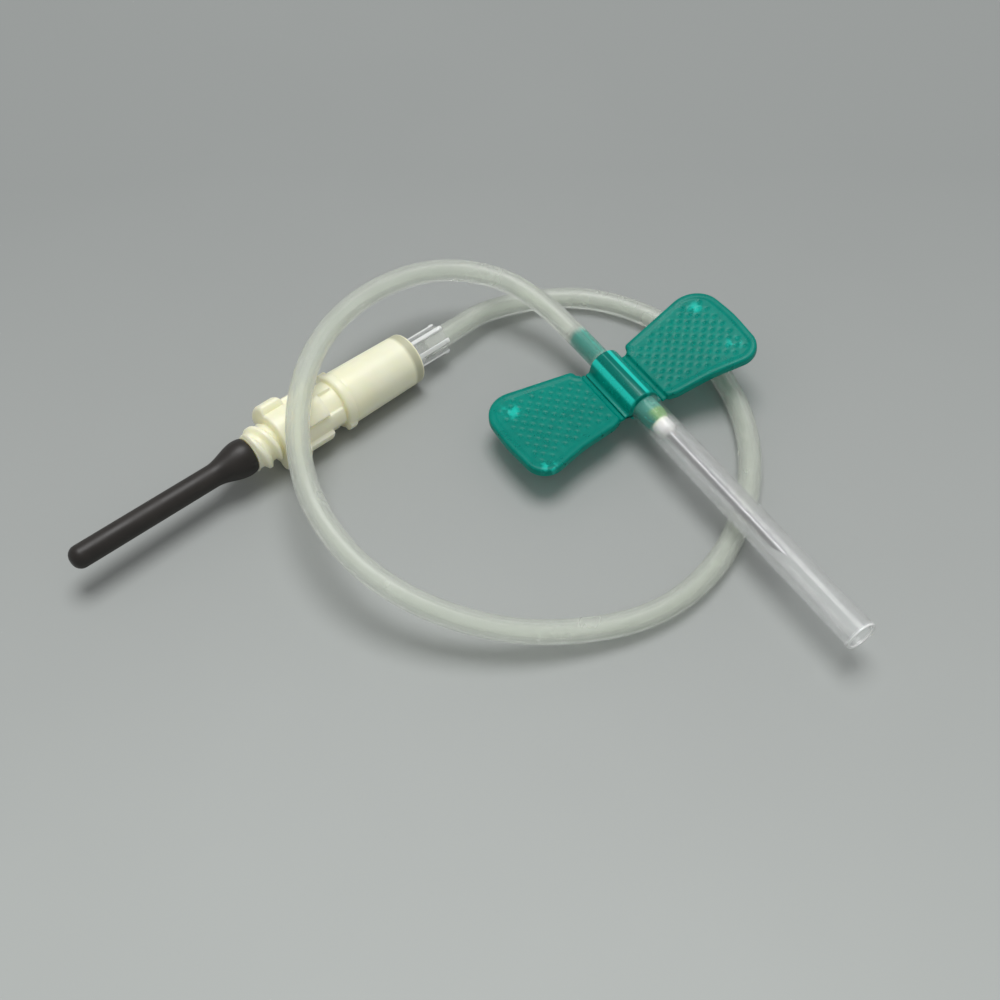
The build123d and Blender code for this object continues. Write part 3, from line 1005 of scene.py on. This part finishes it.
# A step in the outline belongs to the part before it
STEP = 0.001
COLLAR_LENGTH = 10.4
RIB_FROM = 12.4
FLANGE_FROM = 15.6
THREAD_FROM = 18.2
STEM_END = 21.1
NIPPLE_RADIUS = 1.25
NIPPLE_END = 23.1
NECK_RADIUS = 2.45
RIB_REACH = 3.15
RIB_HALF = 1.25
NECK_RIB_REACH = 2.75
NECK_RIB_HALF = 0.8
EAR_REACH = 3.32
EAR_HALF = math.radians(15)
FLANGE_RADIUS = 2.9
LUG_REACH = 3.75
LUG_HALF = math.radians(35)
LUG_EDGE = 0.5
STEM_RADIUS = 1.875
CREST_RADIUS = 2.375
THREAD_LEAD = 3.1
THREAD_STARTS = 2
RIDGE_HALF = 0.6
CREST_HALF = 0.175


def rib_reach(radius, angles, reach, half, count, roll, blend):
    """Radius of a round body with parallel-sided ribs."""
    out = np.full(len(angles), radius)
    for n in range(count):
        away = wrapped(angles - roll - 2 * math.pi * n / count)
        side = half / np.maximum(np.abs(np.sin(away)), 1e-6)
        rib = np.where(np.abs(away) < math.pi / 2, np.minimum(reach, side), 0)
        out = smooth_max(out, rib, blend)
    return out


def adapter_reach(radius, height, angles):
    """Radius of the adapter with its ribs, ears, lugs and thread."""
    out = np.full(len(angles), radius)
    depth = -height
    if radius < BORE_LIMIT:
        return out
    if RIB_FROM <= depth <= FLANGE_FROM + STEP:
        top = RIB_REACH - crown(min(depth - RIB_FROM, 0.25) - 0.25, 0.25, 0.2)
        out = rib_reach(radius, angles, top, RIB_HALF, 4, LUG_ROLL, 0.2)
    if COLLAR_LENGTH + 0.3 < depth <= FLANGE_FROM + STEP:
        between = LUG_ROLL + math.pi / 4
        neck = rib_reach(radius, angles, NECK_RIB_REACH, NECK_RIB_HALF, 4, between, 0.2)
        out = np.maximum(out, neck)
    if COLLAR_LENGTH - 1.0 < depth < COLLAR_LENGTH - 0.05:
        drop = crown(depth - COLLAR_LENGTH + 0.5, 0.5, 0.25)
        for n in range(2):
            away = wrapped(angles - LUG_ROLL - math.pi * n)
            ear = EAR_REACH - drop - crown(away * EAR_REACH, EAR_HALF * EAR_REACH, 0.3)
            out = np.where(np.abs(away) <= EAR_HALF, np.maximum(out, ear), out)
    if FLANGE_FROM <= depth <= THREAD_FROM:
        middle = (FLANGE_FROM + THREAD_FROM) / 2
        drop = crown(depth - middle, (THREAD_FROM - FLANGE_FROM) / 2, LUG_EDGE)
        for n in range(2):
            away = wrapped(angles - LUG_ROLL - math.pi * n)
            fall = crown(away * LUG_REACH, LUG_HALF * LUG_REACH, LUG_EDGE)
            lug = np.where(np.abs(away) <= LUG_HALF, LUG_REACH - drop - fall, 0)
            out = np.maximum(out, lug)
    if THREAD_FROM < depth <= STEM_END:
        from_end = min(STEM_END - depth, 0.5 * (depth - THREAD_FROM))
        fade = smooth_step(from_end, 0.0, 0.25)
        for n in range(-3, 5):
            crest = -STEM_END - RIDGE_HALF + THREAD_LEAD * (angles / (2 * math.pi) + n / THREAD_STARTS)
            away = np.abs(height - crest)
            share = np.clip((RIDGE_HALF - away) / (RIDGE_HALF - CREST_HALF), 0, 1)
            ridge = STEM_RADIUS - 0.1 + (CREST_RADIUS - STEM_RADIUS + 0.1) * share * fade
            out = smooth_max(out, ridge, 0.1)
    return out


def make_adapter(material):
    outer = rounded([
        (RIM_BORE_RADIUS, 0, 0.12),
        (RIM_RADIUS, 0, 0.35),
        (COLLAR_RADIUS, -GROOVE_FROM, 0),
        (GROOVE_RADIUS, -GROOVE_AT, 0.1),
        (LIP_RADIUS, -LIP_FROM, 0.25),
        (LIP_RADIUS, -COLLAR_LENGTH, 0.42),
        (NECK_RADIUS, -COLLAR_LENGTH, 0.15),
        (NECK_RADIUS, -RIB_FROM, 0),
        (NECK_RADIUS, -FLANGE_FROM, 0),
        (FLANGE_RADIUS, -FLANGE_FROM, 0.25),
        (FLANGE_RADIUS, -THREAD_FROM, 0.25),
        (STEM_RADIUS, -THREAD_FROM, 0.15),
        (STEM_RADIUS, -STEM_END, 0.1),
        (NIPPLE_RADIUS, -STEM_END, 0),
        (NIPPLE_RADIUS, -NIPPLE_END, 0.15),
        (NEEDLE_HOLE_RADIUS, -NIPPLE_END, 0),
    ])
    inner = rounded([
        (NEEDLE_HOLE_RADIUS, -REAR_ROOT, 0),
        (FLOW_RADIUS, -REAR_ROOT, 0),
        (FLOW_RADIUS, -LUER_DEPTH, 0),
        (LUER_END_RADIUS, -LUER_DEPTH, 0),
        (LUER_MOUTH_RADIUS, -0.4, 0),
        (RIM_BORE_RADIUS, -0.02, 0),
    ])
    outline = filled(outer, 0.09) + inner
    adapter = turned("threaded_adapter", ON_ADAPTER, outline, count=192, reach=adapter_reach)
    place(adapter, "adapter_body", "luer_adapter", "ivory_plastic", material)


# Connector
GRIP_LENGTH = 4.6
GRIP_RADIUS = 1.475
FIN_REACH = 1.75
FIN_HALF = 0.26
KNOB_FROM = 4.05
KNOB_AT = 1.545
KNOB_RADIUS = 0.31
SOCKET_DEPTH = 2.5
SOCKET_RADIUS = 1.225
CONE_LENGTH = 6.5
CONE_RADIUS = 2.025
CONE_TIP_RADIUS = 1.83
CONE_BORE_RADIUS = 0.6


def connector_reach(radius, height, angles):
    """Radius of the connector with its fins and their knobs."""
    if height <= STEP or radius < SOCKET_RADIUS + 0.075:
        return np.full(len(angles), radius)
    out = rib_reach(radius, angles, FIN_REACH, FIN_HALF, 6, LUG_ROLL, 0.05)
    if height >= KNOB_FROM:
        drop = crown(height - (KNOB_FROM + GRIP_LENGTH) / 2, (GRIP_LENGTH - KNOB_FROM) / 2, 0.15)
        for n in range(6):
            away = wrapped(angles - LUG_ROLL - math.pi * n / 3)
            across = FIN_REACH * np.sin(away)
            knob = KNOB_AT + np.sqrt(np.maximum(KNOB_RADIUS**2 - across**2, 0)) - drop
            knob = np.where((np.abs(across) < KNOB_RADIUS) & (np.abs(away) < 1), knob, 0)
            out = np.maximum(out, knob)
    return out


def make_connector(material):
    outer = rounded([
        (CONE_BORE_RADIUS, -CONE_LENGTH, 0),
        (CONE_TIP_RADIUS, -CONE_LENGTH, 0.1),
        (CONE_RADIUS, 0, 0.05),
        (GRIP_RADIUS, 0.02, 0),
        (GRIP_RADIUS, GRIP_LENGTH, 0.06),
        (SOCKET_RADIUS, GRIP_LENGTH, 0),
        (SOCKET_RADIUS, GRIP_LENGTH - SOCKET_DEPTH, 0),
        (CONE_BORE_RADIUS, GRIP_LENGTH - SOCKET_DEPTH, 0),
    ], closed=True)
    outline = filled(outer, 0.12, closed=True)
    connector = turned("clear_connector", ON_ADAPTER, outline, count=192, reach=connector_reach)
    place(connector, "hub", "tube_connector", "clear_plastic", material)


# Rubber sleeve
SLEEVE_FROM = 21.15
BULB_AT = 22.0
FLARE_END = 25.6
SLEEVE_END = 41.6
SLEEVE_RADIUS = 1.2
BULB_RADIUS = 1.975
MOUTH_RADIUS = 1.75
SLEEVE_BORE_RADIUS = 0.75
SLEEVE_TIP_WALL = 0.9
SEAT_RADIUS = 1.27
SEAT_LENGTH = 2.2


def make_sleeve(material):
    outline = rounded([
        (0, SLEEVE_TIP_WALL - SLEEVE_END, 0),
        (SLEEVE_BORE_RADIUS, SLEEVE_TIP_WALL - SLEEVE_END, 0),
        (SLEEVE_BORE_RADIUS, -SLEEVE_FROM - SEAT_LENGTH, 0),
        (SEAT_RADIUS, -SLEEVE_FROM - SEAT_LENGTH, 0),
        (SEAT_RADIUS, -SLEEVE_FROM, 0),
    ])
    for k in range(7):
        angle = math.pi / 2 * k / 6
        outline.append(Vector((
            MOUTH_RADIUS + (BULB_RADIUS - MOUTH_RADIUS) * math.sin(angle),
            -SLEEVE_FROM - (BULB_AT - SLEEVE_FROM) * (1 - math.cos(angle)),
        )))
    for k in range(1, 25):
        share = k / 24
        radius = BULB_RADIUS + (SLEEVE_RADIUS - BULB_RADIUS) * smooth_step(share, 0, 1)
        outline.append(Vector((radius, -BULB_AT - (FLARE_END - BULB_AT) * share)))
    outline += rounded([
        (SLEEVE_RADIUS, -FLARE_END - 0.1, 0),
        (SLEEVE_RADIUS, -SLEEVE_END, 1.0),
        (0, -SLEEVE_END, 0),
    ])
    sleeve = turned("rubber_cover", ON_ADAPTER, outline, count=96)
    place(sleeve, "adapter_body", "rubber_sleeve", "black_rubber", material)


def dress(name, material):
    """Give a CAD node a better material."""
    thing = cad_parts[name]
    thing.data.materials.clear()
    thing.data.materials.append(material)
    for polygon in thing.data.polygons:
        polygon.use_smooth = True


bpy.context.scene.view_settings.view_transform = "Standard"
make_camera()
make_world(WORLD_LEVEL)
make_lamp("key", KEY_AT, KEY_SIZE, KEY_POWER)
make_floor(make_floor_finish())

teal = make_teal()
steel = make_steel()
dress("front_needle", steel)
dress("rear_needle", steel)
make_tubing(make_frosted())
make_hub(make_barrel_teal())
make_bead(make_glue())
make_sheath(make_sheath_clear())
make_wing("left_grip", 1, LEFT_WING_RISE, "left_wing_body", "left_wing", teal)
make_wing("right_grip", -1, RIGHT_WING_RISE, "right_wing_body", "right_wing", teal)
make_adapter(make_ivory())
make_connector(make_finned_clear())
make_sleeve(make_rubber())
